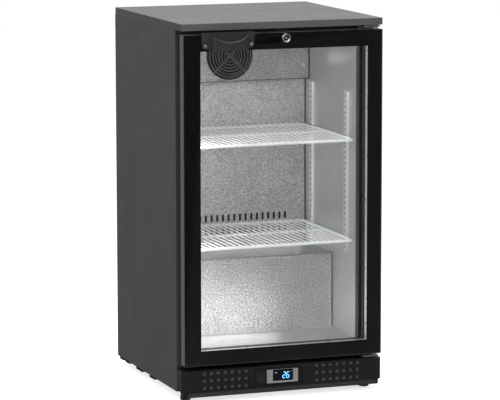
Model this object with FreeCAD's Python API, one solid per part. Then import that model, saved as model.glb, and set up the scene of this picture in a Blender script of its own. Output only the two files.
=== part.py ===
import FreeCAD, Part
import math
import os

# Under counter fridge: a free-standing single glass-door cooler.
# Frame: +X to the right as seen from the front, +Y to the back, +Z up.
# Origin: centre of the bounding box's footprint, on the floor under the feet.
# Millimetres.

V = FreeCAD.Vector
os.makedirs("parts", exist_ok=True)

# ---------------------------------------------------------------- driving sizes
WIDTH = 500.0            # over the side panels and the worktop
HEIGHT = 890.0           # floor to worktop
YF = -242.5              # front plane: worktop edge, door glass, kick panel
YB = 262.5               # back plane
HANDLE_PROJ = 20.0       # how far the handle stands in front of YF
SKIN = 1.0               # outer sheet
LINER = 1.0              # inner sheet
TOP_Z = 873.8            # underside of the worktop
CAB_Y = -198.0           # front face of the cabinet carcass
CAB_Z0 = 22.0            # bottom edge of the side panels
IN_X = 210.0             # half width of the cold compartment
IN_Z0 = 115.0            # compartment floor
IN_Z1 = 835.0            # compartment ceiling
REAR_Y = 222.0           # rear liner
DUCT_Y = 159.5           # front of the duct panel
EVAP_Y = 133.0           # front of the evaporator cover
EVAP_Z = 712.0           # lower edge of the evaporator cover
STEP_Y = -25.0           # front of the compressor step
STEP_Z = 299.5           # top of the compressor step
DOOR_X0, DOOR_X1 = -244.0, 250.0
DOOR_Z0, DOOR_Z1 = 87.7, 863.8
CLR_X0, CLR_X1 = -202.5, 213.5      # clear glass inside the printed border
CLR_Z0, CLR_Z1 = 122.5, 825.0
GLASS_T = 4.0
HINGE_X, HINGE_Y = 238.0, -224.0
PIN_R = 4.0
RUN = 0.05               # radial running clearance
LOCK_X, LOCK_Z = 7.4, 850.0
FAN_X, FAN_Z = 1.0, 774.0
SHELF_Z = {"upper_shelf": 595.3, "lower_shelf": 353.3}   # centre of the frame bar
SHELF_X, SHELF_Y0, SHELF_Y1 = 204.0, -186.0, 155.0
BAR_R, WIRE_R, WIRE_PITCH = 3.4, 1.7, 14.9
STRIP_Y = ((-127.5, -110.0), (103.0, 120.5))             # front and rear shelf strips
STRIP_Z0, STRIP_Z1, SLOT_PITCH = 318.0, 706.0, 13.6
STRIP_D, STRIP_T = 5.0, 1.2                              # the strips are shallow channels
KICK_Z0, KICK_Z1 = 26.0, 77.5
DOT_R, DOT_PITCH = 4.2, 17.3
DOT_ROWS = (69.0, 51.7, 34.4)
DOT_GROUPS = (-144.6, 137.2)
FEET = {"foot_front_left": (-226.0, -190.0), "foot_front_right": (226.0, -190.0),
        "foot_rear_left": (-196.0, 224.0), "foot_rear_right": (196.0, 224.0)}
RAILS = ((229.0, 258.0), (184.0, 215.0), (78.0, 126.0), (-17.0, 21.0))


# ---------------------------------------------------------------- helpers
def box(x0, x1, y0, y1, z0, z1):
    return Part.makeBox(x1 - x0, y1 - y0, z1 - z0, V(x0, y0, z0))


def cz(x, y, z0, z1, r):
    return Part.makeCylinder(r, z1 - z0, V(x, y, z0), V(0, 0, 1))


def cy(x, z, y0, y1, r):
    return Part.makeCylinder(r, y1 - y0, V(x, y0, z), V(0, 1, 0))


def cx(y, z, x0, x1, r):
    return Part.makeCylinder(r, x1 - x0, V(x0, y, z), V(1, 0, 0))


def fuse(shapes):
    s = shapes[0]
    if len(shapes) > 1:
        s = s.multiFuse(shapes[1:])
    s = s.removeSplitter()
    return s.Solids[0] if len(s.Solids) == 1 else s


def cut(s, tools):
    s = s.cut(tools) if isinstance(tools, list) else s.cut([tools])
    return s.Solids[0] if len(s.Solids) == 1 else s


def poly(points):
    return Part.Wire(Part.makePolygon([V(*p) for p in points] + [V(*points[0])]))


def prism(points, direction):
    return Part.Face(poly(points)).extrude(V(*direction))


def fil(s, r, pick):
    edges = [e for e in s.Edges if pick(e)]
    return s.makeFillet(r, edges) if edges else s


def vertical(e):
    b = e.BoundBox
    return b.XLength < 1e-6 and b.YLength < 1e-6


def ring_y(x0, x1, z0, z1, a0, a1, b0, b1, y0, y1):
    """A flat frame in the XZ plane: outer rectangle less inner rectangle."""
    return cut(box(x0, x1, y0, y1, z0, z1), box(a0, a1, y0 - 1, y1 + 1, b0, b1))


def slot_xz(xc, z0, z1, w, y):
    """A wire for an upright slot with round ends, in the plane at y."""
    r = w / 2.0
    a, b = V(xc - r, y, z0 + r), V(xc - r, y, z1 - r)
    c, d = V(xc + r, y, z1 - r), V(xc + r, y, z0 + r)
    return Part.Wire([Part.makeLine(a, b), Part.Arc(b, V(xc, y, z1), c).toShape(),
                      Part.makeLine(c, d), Part.Arc(d, V(xc, y, z0), a).toShape()])


def rect_xz(x0, x1, z0, z1, y):
    return poly([(x0, y, z0), (x1, y, z0), (x1, y, z1), (x0, y, z1)])


def sheet_y(outer, holes, y0, t):
    """A flat sheet at y0, t thick, with holes given as wires in the plane y0."""
    f = Part.Face(outer)
    hs = [Part.Face(h) for h in holes]
    f = f.cut(Part.makeCompound(hs)) if hs else f
    faces = f.Faces
    return faces[0].extrude(V(0, t, 0))


def hexagon(x, y, z0, z1, r):
    pts = [(x + r * math.cos(math.radians(60 * i)), y + r * math.sin(math.radians(60 * i)), z0)
           for i in range(6)]
    return prism(pts, (0, 0, z1 - z0))


def tube_path(points, r, bend):
    """A solid rod along straight runs joined by tangent arcs."""
    p = [V(*q) for q in points]
    edges = []
    start = p[0]
    for i in range(1, len(p) - 1):
        a = (p[i - 1] - p[i]).normalize()
        b = (p[i + 1] - p[i]).normalize()
        half = math.acos(max(-1, min(1, a.dot(b)))) / 2.0
        t = bend / math.tan(half)
        s, e = p[i] + a * t, p[i] + b * t
        mid_dir = (a + b).normalize()
        c = p[i] + mid_dir * (bend / math.sin(half))
        m = c - mid_dir * bend
        edges.append(Part.makeLine(start, s))
        edges.append(Part.Arc(s, m, e).toShape())
        start = e
    edges.append(Part.makeLine(start, p[-1]))
    wire = Part.Wire(edges)
    d = (p[1] - p[0]).normalize()
    prof = Part.Wire([Part.makeCircle(r, p[0], d)])
    s = wire.makePipeShell([prof], True, False)
    return s if s.ShapeType == "Solid" else Part.Solid(s)


NODES = {}


def out(name, *shapes):
    solids = []
    for s in shapes:
        solids += s.Solids
    shape = solids[0] if len(solids) == 1 else Part.makeCompound(solids)
    ok = all(s.isValid() and s.isClosed() for s in solids)
    NODES[name] = shape
    shape.exportStep("parts/%s.step" % name)
    print("%-24s %3d solid(s) %10.0f mm3 %s" % (name, len(solids), shape.Volume, "" if ok else "INVALID"))


W2 = WIDTH / 2.0

# ---------------------------------------------------------------- outer carcass
top = box(-W2, W2, YF, YB, TOP_Z, HEIGHT)
top = fil(top, 3.0, vertical)
top = fil(top, 1.3, lambda e: abs(e.BoundBox.ZMin - HEIGHT) < 1e-6 and abs(e.BoundBox.ZMax - HEIGHT) < 1e-6)
hollow = box(-W2 + 1.2, W2 - 1.2, CAB_Y + 2, YB - 1.2, TOP_Z - 1, HEIGHT - 1.2)
front_box = box(-W2 + 1.2, W2 - 1.2, YF + 1.2, CAB_Y + 0.8, TOP_Z + 1.2, HEIGHT - 1.2)
link = box(-W2 + 1.2, W2 - 1.2, CAB_Y, CAB_Y + 3, TOP_Z + 6, HEIGHT - 1.2)
out("worktop", cut(top, [hollow, front_box, link]))

# top sheet of the carcass with its front flange and the folded striker for the lock
strike_x0, strike_x1 = LOCK_X - 17.0, LOCK_X + 17.0
top_panel = fuse([
    box(-W2 + SKIN, W2 - SKIN, CAB_Y, YB - SKIN, TOP_Z - SKIN, TOP_Z),
    box(-232.0, 232.0, CAB_Y, CAB_Y + SKIN, 857.0, TOP_Z - SKIN),
    box(strike_x0, strike_x1, -215.0, CAB_Y + 0.5, TOP_Z - 2.0, TOP_Z),
    box(strike_x0, strike_x1, -216.5, -215.0, DOOR_Z1 + 0.5, TOP_Z),
])

for side, name in ((-1, "left_side_panel"), (1, "right_side_panel")):
    skin = box(-W2, -W2 + SKIN, CAB_Y, YB, CAB_Z0, TOP_Z)
    flange = box(-W2, -232.0, CAB_Y, CAB_Y + SKIN, CAB_Z0 + 2.0, TOP_Z - SKIN)
    p = fuse([skin, flange])
    if side > 0:
        p = p.mirror(V(0, 0, 0), V(1, 0, 0))
    out(name, p)

back_panel = box(-W2 + SKIN, W2 - SKIN, YB - SKIN, YB, 257.0, TOP_Z - SKIN)
out("top_back_panels", top_panel, back_panel)

# base tray with weld nuts for the feet and pressed cross rails under it
tray = fuse([box(-W2 + SKIN, W2 - SKIN, CAB_Y + SKIN, YB, CAB_Z0, CAB_Z0 + 1.2),
             box(-W2 + SKIN, W2 - SKIN, YB - 1.2, YB, CAB_Z0, CAB_Z0 + 9.0)])
nuts = []
for fx, fy in FEET.values():
    nuts.append(hexagon(fx, fy, CAB_Z0 + 1.2, CAB_Z0 + 10.0, 8.0))
bores = [cz(fx, fy, CAB_Z0 - 2, CAB_Z0 + 12, PIN_R + RUN) for fx, fy in FEET.values()]
tray = cut(fuse([tray] + nuts), bores)
rails = []
for y0, y1 in RAILS:
    chan = box(-246.0, 246.0, y0, y1, 14.0, CAB_Z0)
    chan = cut(chan, box(-247.0, 247.0, y0 + 1.2, y1 - 1.2, 15.2, CAB_Z0 + 1))
    rails.append(chan)
out("base_tray", tray, *rails)

# front sill below the door opening: carries the bottom hinge
sill = fuse([box(-231.8, 231.8, CAB_Y, CAB_Y + 1.2, 72.0, 93.0),
             box(-231.8, 231.8, CAB_Y, -178.0, 91.8, 93.0)])
out("front_sill", sill)

# plastic breaker frame round the opening: face plate and inward return
face = ring_y(-232.0, 232.0, 93.0, 857.0, -208.8, 208.8, 113.8, 836.2, CAB_Y, CAB_Y + 1.5)
ret = ring_y(-IN_X, IN_X, IN_Z0, IN_Z1, -208.8, 208.8, 116.2, 833.8, CAB_Y + 1.5, -178.0)
face = cut(face, box(-208.8, 208.8, CAB_Y - 1, CAB_Y + 3, 116.2, 833.8))
face2 = ring_y(-209.4, 209.4, 113.4, 836.6, -208.8, 208.8, 116.2, 833.8, CAB_Y, CAB_Y + 1.5)
out("breaker_frame", fuse([face, face2, ret]))

# ---------------------------------------------------------------- inner liner
y_in0 = CAB_Y + 1.5
liner = [
    cut(box(-IN_X - LINER, -IN_X, y_in0, REAR_Y, IN_Z0 - LINER, IN_Z1 + LINER),
        box(-IN_X - 2, -IN_X + 1, STEP_Y + LINER, REAR_Y + 1, IN_Z0 - 2, STEP_Z - LINER)),
    cut(box(IN_X, IN_X + LINER, y_in0, REAR_Y, IN_Z0 - LINER, IN_Z1 + LINER),
        box(IN_X - 1, IN_X + 2, STEP_Y + LINER, REAR_Y + 1, IN_Z0 - 2, STEP_Z - LINER)),
    box(-IN_X, IN_X, y_in0, REAR_Y, IN_Z1, IN_Z1 + LINER),
    box(-IN_X, IN_X, y_in0, STEP_Y, IN_Z0 - LINER, IN_Z0),
    box(-IN_X - LINER, IN_X + LINER, REAR_Y, REAR_Y + LINER, STEP_Z, IN_Z1 + LINER),
]
out("inner_liner", *liner)

# step over the compressor compartment: one folded sheet with a bend radius
drain_x, drain_y = 150.0, 204.0
suct_x, suct_y = 170.0, 210.0
step = box(-IN_X + 0.2, IN_X - 0.2, STEP_Y, REAR_Y, IN_Z0, STEP_Z)
step = fil(step, 7.0, lambda e: abs(e.BoundBox.YMin - STEP_Y) < 1e-6 and abs(e.BoundBox.YMax - STEP_Y) < 1e-6
           and abs(e.BoundBox.ZMin - STEP_Z) < 1e-6)
inner = box(-IN_X - 1, IN_X + 1, STEP_Y + LINER, REAR_Y + 1, IN_Z0 - 1, STEP_Z - LINER)
inner = fil(inner, 6.0, lambda e: abs(e.BoundBox.YMin - STEP_Y - LINER) < 1e-6 and abs(e.BoundBox.YMax - STEP_Y - LINER) < 1e-6
            and abs(e.BoundBox.ZMin - STEP_Z + LINER) < 1e-6)
step = cut(step, [inner, cz(drain_x, drain_y, 200, 400, 7.2), cz(suct_x, suct_y, 200, 400, 5.2)])
out("step_cover", step)

# duct panel with two rows of upright air slots
slots = []
n_slot = 22
for i in range(n_slot):
    xc = (i - (n_slot - 1) / 2.0) * 14.9
    slots.append(slot_xz(xc, 360.0, 378.0, 6.0, DUCT_Y))
    slots.append(slot_xz(xc, 324.0, 345.0, 6.0, DUCT_Y))
duct = sheet_y(rect_xz(-IN_X + 0.4, IN_X - 0.4, STEP_Z, EVAP_Z, DUCT_Y), slots, DUCT_Y, LINER)
out("duct_panel", duct)

# evaporator cover: front, lower return to the duct panel, fan hole
cover = fuse([box(-IN_X + 0.4, IN_X - 0.4, EVAP_Y, EVAP_Y + 1.0, EVAP_Z, IN_Z1),
              box(-IN_X + 0.4, IN_X - 0.4, EVAP_Y, DUCT_Y + 1.0, EVAP_Z, EVAP_Z + 1.0)])
cover = cut(cover, cy(FAN_X, FAN_Z, EVAP_Y - 2, EVAP_Y + 3, 50.0))
out("evaporator_cover", cover)

# fan guard: concentric rings on four diagonal ribs, moulded in one
G0, G1 = EVAP_Y - 7.0, EVAP_Y


def annulus(ro, ri, y0, y1):
    return cy(FAN_X, FAN_Z, y0, y1, ro).cut(cy(FAN_X, FAN_Z, y0 - 1, y1 + 1, ri))


rings = [annulus(58.5, 50.5, G1 - 2.0, G1)]
for k in range(1, 8):
    rings.append(annulus(7.5 * k + 1.25, 7.5 * k - 1.25, G0 + 0.8, G0 + 3.2))
ribs = []
for a in (45, 135):
    r = fuse([box(-58.0, 58.0, G0 + 1.6, G0 + 4.6, -1.5, 1.5),
              box(51.5, 58.0, G0 + 1.6, G1 - 1.0, -1.5, 1.5), box(-58.0, -51.5, G0 + 1.6, G1 - 1.0, -1.5, 1.5)])
    r.rotate(V(0, 0, 0), V(0, 1, 0), a)
    r.translate(V(FAN_X, 0, FAN_Z))
    ribs.append(r)
out("fan_guard", fuse(rings + ribs))

# evaporator fan motor on a three-leg bracket behind the cover
motor = [cy(FAN_X, FAN_Z, 156.0, 186.0, 24.0), cy(FAN_X, FAN_Z, 141.8, 156.0, 3.0)]
plate = cy(FAN_X, FAN_Z, 172.0, 174.0, 26.0)
legs = []
for a in (90, 210, 330):
    leg = box(20.0, 58.5, 172.0, 174.0, -5.0, 5.0)
    foot = box(55.0, 58.5, EVAP_Y + 1.0, 174.0, -5.0, 5.0)
    leg = fuse([leg, foot])
    leg.rotate(V(0, 0, 0), V(0, 1, 0), a)
    leg.translate(V(FAN_X, 0, FAN_Z))
    legs.append(leg)
out("evaporator_fan_motor", fuse(motor + [plate] + legs))


def fan(axis_len, hub_r, tip_r, blades, bore_r, chord, thick, pitch):
    """A fan along +Y from 0 to axis_len: hub with flat pitched blades."""
    parts = [Part.makeCylinder(hub_r, axis_len, V(0, 0, 0), V(0, 1, 0))]
    for i in range(blades):
        b = Part.makeBox(tip_r - hub_r + 2, thick, chord, V(hub_r - 2, -thick / 2, -chord / 2))
        b = b.makeFillet(min(chord, 20) * 0.32, [e for e in b.Edges if abs(e.BoundBox.XMin - tip_r) < 1e-6
                                        and abs(e.BoundBox.XMax - tip_r) < 1e-6 and e.BoundBox.YLength > 0.5 * thick])
        b.rotate(V(0, 0, 0), V(1, 0, 0), pitch)
        b.translate(V(0, axis_len / 2, 0))
        b.rotate(V(0, 0, 0), V(0, 1, 0), 360.0 / blades * i)
        parts.append(b)
    s = fuse(parts)
    return cut(s, Part.makeCylinder(bore_r, axis_len * 0.8 + 1, V(0, axis_len * 0.2, 0), V(0, 1, 0)))


blade = fan(15.0, 12.0, 46.0, 5, 3.0 + RUN, 26.0, 1.6, 28.0)
blade.translate(V(FAN_X, 138.4, FAN_Z))
out("evaporator_fan_blade", blade)

# finned evaporator with its return bends
fins = box(-175.0, 150.0, 192.0, 220.0, 722.0, 824.0)
bends = []
for zc in (735.0, 765.0, 795.0):
    for xe, s in ((-175.0, -1), (150.0, 1)):
        t = Part.makeTorus(7.5, 3.5, V(xe, 206.0, zc + 7.5), V(0, 1, 0))
        half = box(xe if s > 0 else xe - 15, xe + 15 if s > 0 else xe, 195, 217, zc - 6, zc + 21)
        bends.append(t.common(half))
out("evaporator_coil", fuse([fins] + [b.Solids[0] for b in bends]))

# condensate tray under the coil and its drain tube down the duct
dt = cut(box(-182.0, 165.0, 184.0, 221.0, 702.0, 716.0), box(-180.5, 163.5, 185.5, 219.5, 703.5, 717.0))
dt = fuse([dt, cz(drain_x, drain_y, 226.0, 703.0, 6.5)])
dt = cut(dt, cz(drain_x, drain_y, 220.0, 720.0, 5.0))
out("drain_tray", dt)

# thermostat probe clipped to the rear liner in the duct
out("temperature_probe", fuse([cz(-120.0, 212.0, 560.0, 610.0, 3.0), box(-126.0, -114.0, 214.0, REAR_Y, 580.0, 590.0),
                               box(-124.0, -116.0, 210.0, 215.0, 580.0, 590.0)]))

# lamp under the ceiling behind the door's top rail
lamp = box(-180.0, 180.0, -176.0, -154.0, 823.5, IN_Z1)
lamp = fil(lamp, 3.0, lambda e: abs(e.BoundBox.ZMax - 823.5) < 1e-6 and e.BoundBox.XLength > 10)
out("led_lamp", lamp)

# slotted shelf strips on the side walls
strips = []
for side in (-1, 1):
    for y0, y1 in STRIP_Y:
        yc = (y0 + y1) / 2
        x = IN_X - STRIP_D if side > 0 else -IN_X + STRIP_D - STRIP_T
        outer = poly([(x, y0, STRIP_Z0), (x, y1, STRIP_Z0), (x, y1, STRIP_Z1), (x, y0, STRIP_Z1)])
        holes = []
        z = STRIP_Z0 + 9.0
        while z < STRIP_Z1 - 6:
            holes.append(Part.Face(poly([(x, yc - 0.8, z - 2.6), (x, yc + 6.8, z - 2.6), (x, yc + 6.8, z + 2.6), (x, yc - 0.8, z + 2.6)])))
            z += SLOT_PITCH
        f = Part.Face(outer).cut(Part.makeCompound(holes))
        web = f.Faces[0].extrude(V(STRIP_T, 0, 0))
        xa, xb = (IN_X - STRIP_D, IN_X) if side > 0 else (-IN_X, -IN_X + STRIP_D)
        strips.append(fuse([web, box(xa, xb, y0, y0 + STRIP_T, STRIP_Z0, STRIP_Z1), box(xa, xb, y1 - STRIP_T, y1, STRIP_Z0, STRIP_Z1)]))
out("shelf_strips", *strips)

# shelf clips: a lug under each shelf corner, hooked against its strip
clips = []
for zc in SHELF_Z.values():
    top_z = zc - BAR_R - 0.3
    for side in (-1, 1):
        for y0, y1 in STRIP_Y:
            yc = (y0 + y1) / 2
            pts = [(IN_X - STRIP_D, yc - 6, top_z), (IN_X - 12.0, yc - 6, top_z), (IN_X - 12.0, yc - 6, top_z - 2.5),
                   (IN_X - STRIP_D - 2.0, yc - 6, top_z - 14.0), (IN_X - STRIP_D, yc - 6, top_z - 14.0)]
            c = prism(pts, (0, 12, 0))
            if side < 0:
                c = c.mirror(V(0, 0, 0), V(1, 0, 0))
            clips.append(c)
out("shelf_clips", *clips)


# coated wire shelves: rounded bar frame, cross bars, front-to-back wires on top
def shelf(zc):
    rc = 12.0
    x1, y0, y1 = SHELF_X - BAR_R, SHELF_Y0 + BAR_R, SHELF_Y1 - BAR_R
    parts = [cx(y0, zc, -x1 + rc, x1 - rc, BAR_R), cx(y1, zc, -x1 + rc, x1 - rc, BAR_R)]
    for s in (-1, 1):
        parts.append(Part.makeCylinder(BAR_R, y1 - y0 - 2 * rc, V(s * x1, y0 + rc, zc), V(0, 1, 0)))
    for sx, sy, a in ((1, 1, 0), (-1, 1, 90), (-1, -1, 180), (1, -1, 270)):
        t = Part.makeTorus(rc, BAR_R, V(0, 0, 0), V(0, 0, 1), 0, 360, 90)
        t.rotate(V(0, 0, 0), V(0, 0, 1), a)
        t.translate(V(sx * (x1 - rc), (y1 - rc) if sy > 0 else (y0 + rc), zc))
        parts.append(t)
    for yb in (-8.0,):
        parts.append(cx(yb, zc + 0.2, -x1, x1, 2.6))
    frame = fuse(parts)
    wires = []
    n = 26
    for i in range(n):
        xw = (i - (n - 1) / 2.0) * WIRE_PITCH
        # the wires lie on the bars, sunk a little into them by the weld
        wires.append(Part.makeCylinder(WIRE_R, SHELF_Y1 - SHELF_Y0 - 2.0, V(xw, SHELF_Y0 + 1.0, zc + BAR_R + WIRE_R - 1.4), V(0, 1, 0)))
    return fuse([frame] + wires)


rack = shelf(0.0)
for name, zc in SHELF_Z.items():
    r = rack.copy()
    r.translate(V(0, 0, zc))
    out(name, r)

# ---------------------------------------------------------------- hinges
hinges = []
plate_t = fuse([box(205.0, 247.0, -238.0, CAB_Y, 868.8, 871.8),
                box(205.0, 247.0, CAB_Y - 1.5, CAB_Y, 861.3, 871.8)])
plate_t = fil(plate_t, 6.0, lambda e: vertical(e) and abs(e.BoundBox.YMin + 238.0) < 1e-6)
plate_b = fuse([box(205.0, 247.0, -238.0, CAB_Y, 80.0, 83.0),
                box(205.0, 247.0, CAB_Y - 1.5, CAB_Y, 73.0, 83.0)])
plate_b = fil(plate_b, 6.0, lambda e: vertical(e) and abs(e.BoundBox.YMin + 238.0) < 1e-6)
hinges.append(fuse([plate_t, cz(HINGE_X, HINGE_Y, 848.0, 869.5, PIN_R)]))
hinges.append(fuse([plate_b, cz(HINGE_X, HINGE_Y, 82.5, 103.0, PIN_R)]))
out("hinge_brackets", *hinges)

# ---------------------------------------------------------------- kick panel
outer = box(-W2, W2, YF, CAB_Y - 0.0, KICK_Z0, KICK_Z1)
outer = fil(outer, 7.0, lambda e: vertical(e) and e.BoundBox.YMin < YF + 1)
lip = box(-246.0, 246.0, YF + 2.0, YF + 30.0, 13.5, KICK_Z0 + 3.5)
lip = fil(lip, 9.0, lambda e: vertical(e) and e.BoundBox.YMin < YF + 3)
inside = box(-W2 + 2.5, W2 - 2.5, YF + 2.5, CAB_Y + 1, KICK_Z0 - 1.0, KICK_Z1 - 2.5)
lip_in = box(-243.5, 243.5, YF + 4.5, YF + 40, 10.0, KICK_Z0 + 5.0)
shell = fuse([cut(outer, inside), cut(lip, lip_in)])
dots = []
for gx in DOT_GROUPS:
    for i in range(7):
        for zr in DOT_ROWS:
            dots.append(cy(gx + (i - 3) * DOT_PITCH, zr, YF - 1, YF + 4, DOT_R))
# recessed field for the controls: thin back wall 2.6 mm behind the front
REC_X0, REC_X1, REC_Z0, REC_Z1 = -72.0, 49.0, 30.0, 71.5
field = fuse([box(REC_X0 - 2, REC_X1 + 2, YF + 2.4, YF + 5.4, REC_Z0 - 2, REC_Z1 + 2)])
shell = fuse([shell, field])
shell = cut(shell, dots + [box(REC_X0, REC_X1, YF - 1, YF + 3.0, REC_Z0, REC_Z1),
                           box(-38.5, 36.6, YF, YF + 8, 37.0, 66.5),      # controller cut-out
                           box(-65.0, -47.0, YF, YF + 8, 37.5, 64.5)])    # switch cut-out
shell = cut(shell, box(204.0, 248.0, CAB_Y - 2.0, CAB_Y + 1, 70.0, KICK_Z1 + 1))
out("kick_panel", shell)

# filter mesh panels behind the two groups of holes
filt = [box(gx - 60.0, gx + 60.0, YF + 3.2, YF + 5.2, 29.8, 74.0) for gx in DOT_GROUPS]
filt[0] = box(-205.0, -84.0, YF + 3.2, YF + 5.2, 29.8, 74.0)
filt[1] = box(77.0, 198.0, YF + 3.2, YF + 5.2, 29.8, 74.0)
out("dust_filter", *filt)

# controller: bezel in the recess, body through the cut-out
BZ_Y0 = YF + 0.6
bez = box(-40.6, 37.6, BZ_Y0, YF + 3.0, 34.8, 67.2)
bez = fil(bez, 2.0, lambda e: e.BoundBox.YLength > 1 and e.BoundBox.XLength < 1e-6 and e.BoundBox.ZLength < 1e-6)
body = box(-37.0, 34.0, YF + 2.0, YF + 44.0, 37.5, 66.0)
ctl = fuse([bez, body])
ctl = cut(ctl, [box(-25.6, 25.1, BZ_Y0 - 1, BZ_Y0 + 1.4, 39.5, 66.6)])
KEYS = {"key_up": (-33.3, 59.3), "key_down": (-33.3, 45.7), "key_set": (31.6, 59.3), "key_light": (31.6, 45.7)}
KEY_W, KEY_H = 9.4, 11.4
wells = []
for kx, kz in KEYS.values():
    w = box(kx - KEY_W / 2, kx + KEY_W / 2, BZ_Y0 - 1, YF + 6.0, kz - KEY_H / 2, kz + KEY_H / 2)
    wells.append(w)
    cap = box(kx - KEY_W / 2 + 0.3, kx + KEY_W / 2 - 0.3, BZ_Y0 - 0.5, YF + 4.8, kz - KEY_H / 2 + 0.3, kz + KEY_H / 2 - 0.3)
ctl = cut(ctl, wells)
out("controller_body", ctl)
for name, (kx, kz) in KEYS.items():
    cap = box(kx - KEY_W / 2 + 0.3, kx + KEY_W / 2 - 0.3, BZ_Y0 - 0.45, YF + 4.9, kz - KEY_H / 2 + 0.3, kz + KEY_H / 2 - 0.3)
    cap = fil(cap, 1.2, lambda e: e.BoundBox.YLength > 1 and e.BoundBox.XLength < 1e-6 and e.BoundBox.ZLength < 1e-6)
    out(name, cap)
out("display_window", box(-25.6, 25.1, BZ_Y0 - 0.1, BZ_Y0 + 1.4, 39.5, 66.6))

# rocker switch: frame with a bezel, rocker on a short pivot
SW_X, SW_Z = -56.0, 51.0
frame = fuse([box(-66.0, -46.0, YF + 1.4, YF + 3.0, 36.0, 66.0), box(-64.8, -47.2, YF + 2.0, YF + 24.0, 37.8, 64.2)])
frame = cut(frame, box(-62.8, -49.2, YF - 1, YF + 16.0, 39.2, 62.8))
PIV_Y = YF + 9.0
piv = cx(PIV_Y, SW_Z, -63.5, -48.5, 1.5)
out("switch_frame", fuse([frame, piv]))
rk = prism([(0, YF + 0.6, -10.2), (0, YF + 2.4, 0), (0, YF + 0.6, 10.2), (0, YF + 8.0, 8.6), (0, YF + 12.0, 3.5), (0, YF + 12.0, -3.5), (0, YF + 8.0, -8.6)], (13.0, 0, 0))
rk.translate(V(SW_X - 6.5, 0, SW_Z))
rk = cut(rk, cx(PIV_Y, SW_Z, -64.0, -48.0, 1.5 + RUN))
rk.rotate(V(SW_X, PIV_Y, SW_Z), V(1, 0, 0), -7.0)
out("power_rocker", rk)

# ---------------------------------------------------------------- insulation and compartments
COMP_Y0, COMP_Z1 = 16.0, 258.0
foam = box(-W2 + SKIN, W2 - SKIN, y_in0, YB - SKIN, 70.0, TOP_Z - SKIN)
cav = box(-IN_X - LINER, IN_X + LINER, y_in0 - 1, REAR_Y + LINER, IN_Z0 - LINER, IN_Z1 + LINER)
foam = cut(foam, cav)
foam = fuse([foam, box(-IN_X - LINER, IN_X + LINER, STEP_Y + LINER, REAR_Y + LINER, 70.0, STEP_Z - LINER)])
foam = cut(foam, [box(-W2, W2, COMP_Y0, YB, 60.0, COMP_Z1),
                  box(-233.0, 233.0, y_in0 - 1, -177.5, 60.0, 93.5),
                  box(-IN_X - LINER, IN_X + LINER, STEP_Y, STEP_Y + LINER + 7, STEP_Z - 8, STEP_Z + 1),
                  cz(drain_x, drain_y, 200, 400, 7.2), cz(suct_x, suct_y, 200, 400, 5.2)])
out("insulation_foam", foam)

# sheet bulkhead that closes the foam over the machine compartment and the air channel
bulk = [box(-W2 + SKIN, W2 - SKIN, -176.0, COMP_Y0, 69.0, 70.0),
        box(-W2 + SKIN, W2 - SKIN, COMP_Y0, COMP_Y0 + 1.0, 69.0, COMP_Z1 - 1.0),
        cut(box(-W2 + SKIN, W2 - SKIN, COMP_Y0, YB - SKIN, COMP_Z1 - 1.0, COMP_Z1),
            [cz(drain_x, drain_y, 200, 400, 7.2), cz(suct_x, suct_y, 200, 400, 5.2)])]
out("machine_bulkhead", *bulk)

# compressor: welded shell on a foot plate, with the relay box on its side
CX0, CY0 = 105.0, 150.0
shell_c = fuse([cz(CX0, CY0, 62.0, 150.0, 62.0),
                Part.makeSphere(90.0, V(CX0, CY0, 84.5), V(0, 0, 1), 0, 90, 360).common(cz(CX0, CY0, 149.5, 190.0, 62.0)),
                Part.makeSphere(90.0, V(CX0, CY0, 127.5), V(0, 0, 1), -90, 0, 360).common(cz(CX0, CY0, 42.0, 62.5, 62.0))])
foot_plate = cut(box(20.0, 190.0, 90.0, 210.0, 40.0, 43.0),
                 [cz(x, y, 30, 50, 4.0) for x in (30.0, 180.0) for y in (100.0, 200.0)])
relay = box(28.0, 44.0, 120.0, 180.0, 85.0, 140.0)
shell_c = fuse([shell_c, foot_plate])
relay = fil(cut(relay, cz(CX0, CY0, 60, 200, 62.3)), 2.0, lambda e: abs(e.BoundBox.XMax - 28.0) < 1e-6)
out("compressor", shell_c, relay)
mounts = []
for x in (30.0, 180.0):
    for y in (100.0, 200.0):
        m = fuse([cz(x, y, CAB_Z0 + 1.2, 40.0, 11.0), cz(x, y, 39.5, 46.5, 3.9), cz(x, y, 43.0, 47.0, 9.0)])
        mounts.append(m)
out("compressor_mounts", *mounts)

# finned condenser across the left of the compartment, its fan and fan motor
cond = box(-232.0, -196.0, 60.0, 240.0, 42.0, 236.0)
tubes = []
for zc in (60.0, 100.0, 140.0, 180.0):
    for ye, s in ((60.0, -1), (240.0, 1)):
        t = Part.makeTorus(10.0, 4.0, V(-214.0, ye, zc + 10.0), V(1, 0, 0))
        half = box(-225, -203, ye - 16 if s < 0 else ye, ye if s < 0 else ye + 16, zc - 6, zc + 26)
        tubes.append(t.common(half).Solids[0])
feet_c = box(-230.0, -198.0, 64.0, 206.0, CAB_Z0 + 1.2, 42.0)
feet_c = cut(feet_c, box(-240.0, -190.0, 84.0, 186.0, 20.0, 39.5))
out("condenser_coil", fuse([cond, feet_c] + tubes))
CFY, CFZ = 150.0, 139.0
shroud = cut(box(-196.0, -180.0, 62.0, 238.0, 44.0, 234.0), [cx(CFY, CFZ, -197, -178, 82.0)])
mot = cx(CFY, CFZ, -158.0, -112.0, 30.0)
shaft = cx(CFY, CFZ, -185.0, -158.0, 3.0)
arms = [box(-160.0, -157.0, 66.0, 234.0, CFZ - 6, CFZ + 6), box(-180.5, -157.0, 64.0, 67.0, CFZ - 6, CFZ + 6),
        box(-180.5, -157.0, 233.0, 236.0, CFZ - 6, CFZ + 6)]
out("condenser_fan_motor", fuse([shroud, mot, shaft] + arms))
cf = fan(18.0, 16.0, 77.0, 5, 3.0 + RUN, 40.0, 1.6, 24.0)
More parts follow.
